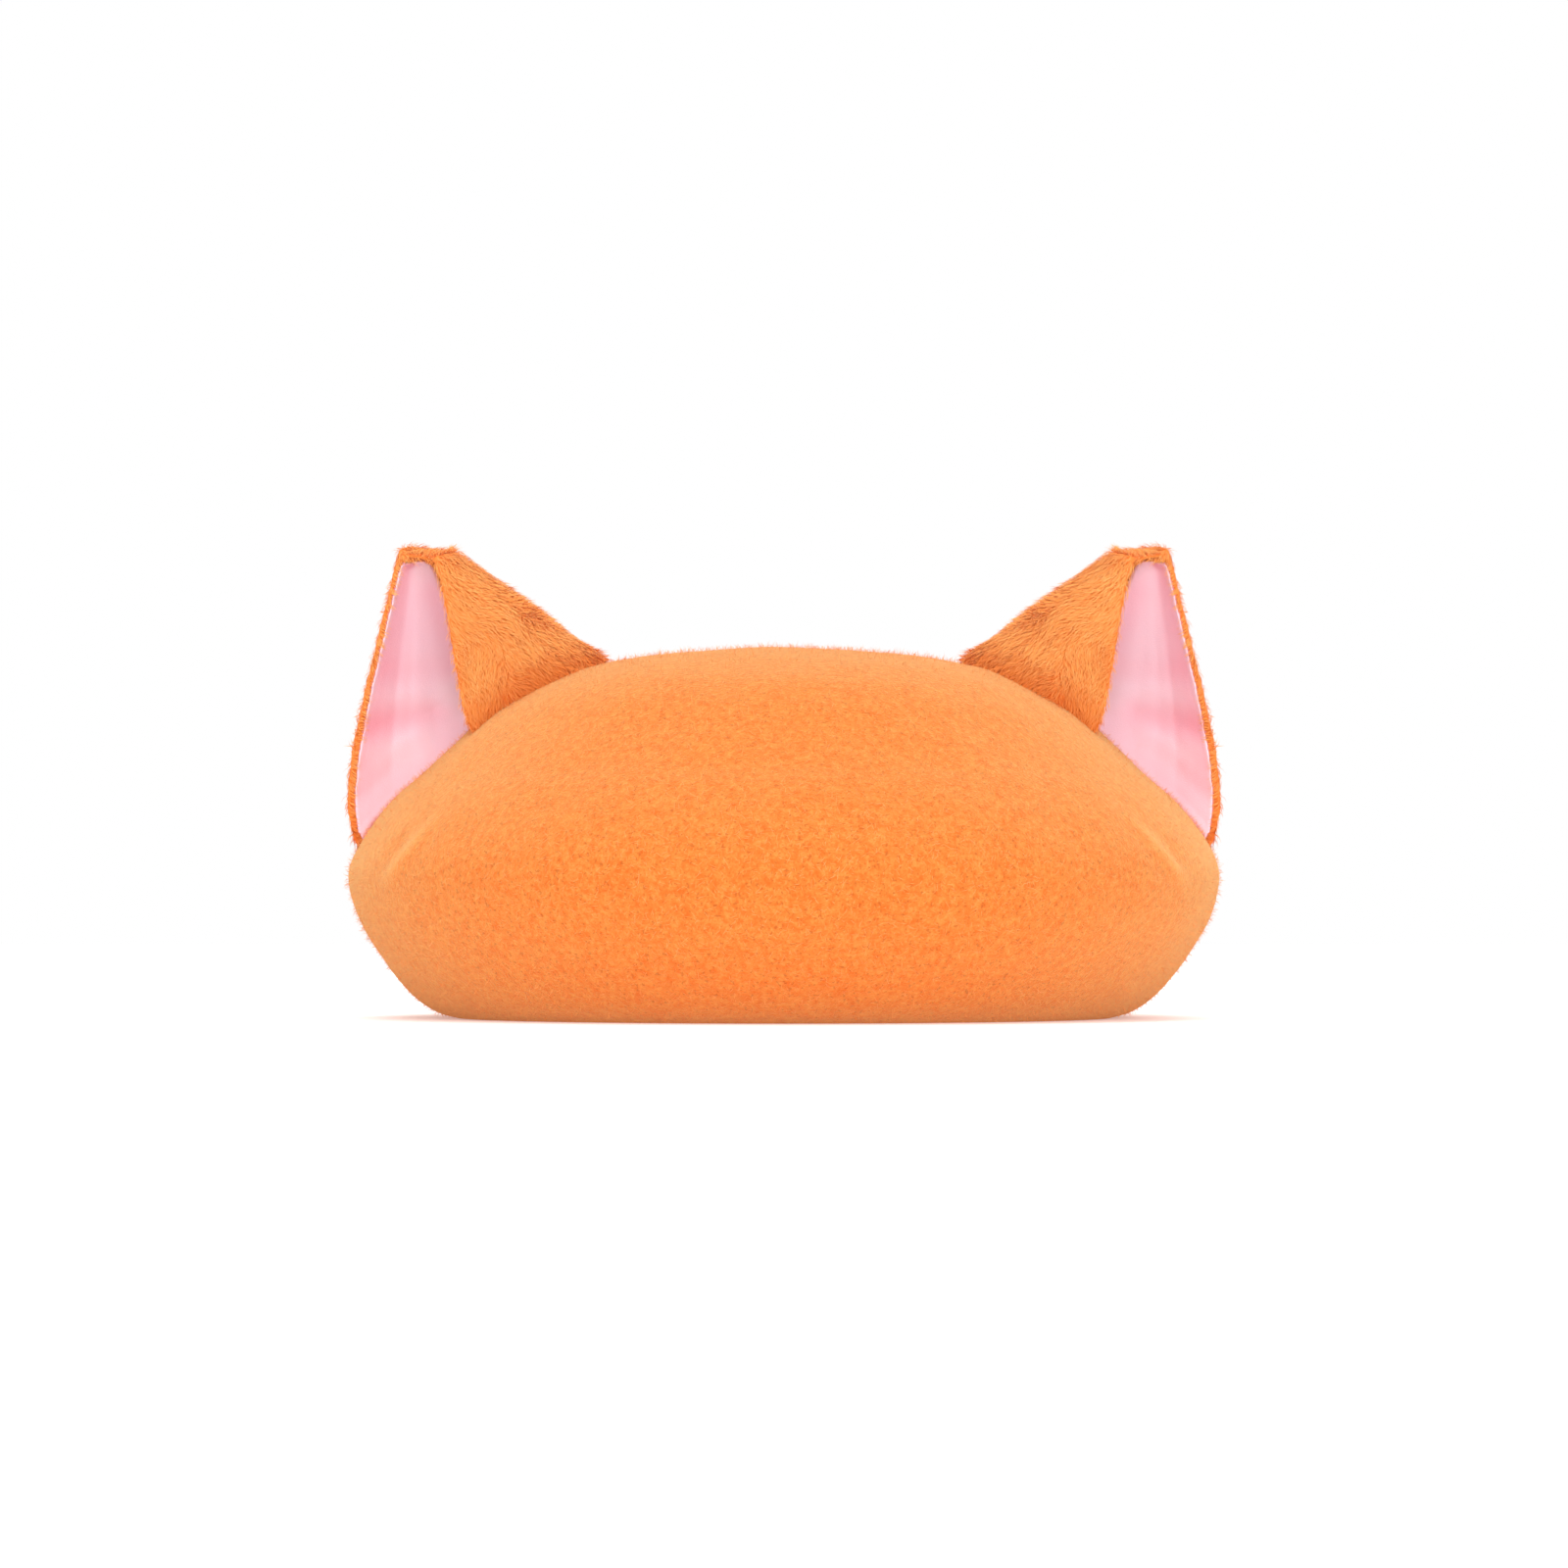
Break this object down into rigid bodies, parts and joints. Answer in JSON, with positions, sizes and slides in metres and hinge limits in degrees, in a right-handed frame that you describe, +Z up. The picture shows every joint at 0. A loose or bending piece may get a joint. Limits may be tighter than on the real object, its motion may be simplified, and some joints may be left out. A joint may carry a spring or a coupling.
{
  "type": "cat-ear beret",
  "caption": "Soft felt beret with a domed crown, an open rim for the head and folded plush cat ears with a smooth pink lining.",
  "frame": {"origin": "on the plane that the rim rests on, under the middle of the head opening", "axes": "+Z up through the crown, -Y to the front, +X to the side of the right ear as seen from the front"},
  "size_m": [0.28, 0.276, 0.1507],
  "materials": {
    "felt": "matt orange wool felt with a fuzzy face",
    "ear_plush": "short orange plush pile",
    "ear_velour": "smooth pink velour"
  },
  "bodies": {
    "root": {"crown": "felt", "left_ear_fur": "ear_plush", "left_ear_lining": "ear_velour", "right_ear_fur": "ear_plush", "right_ear_lining": "ear_velour"}
  },
  "joints": []
}
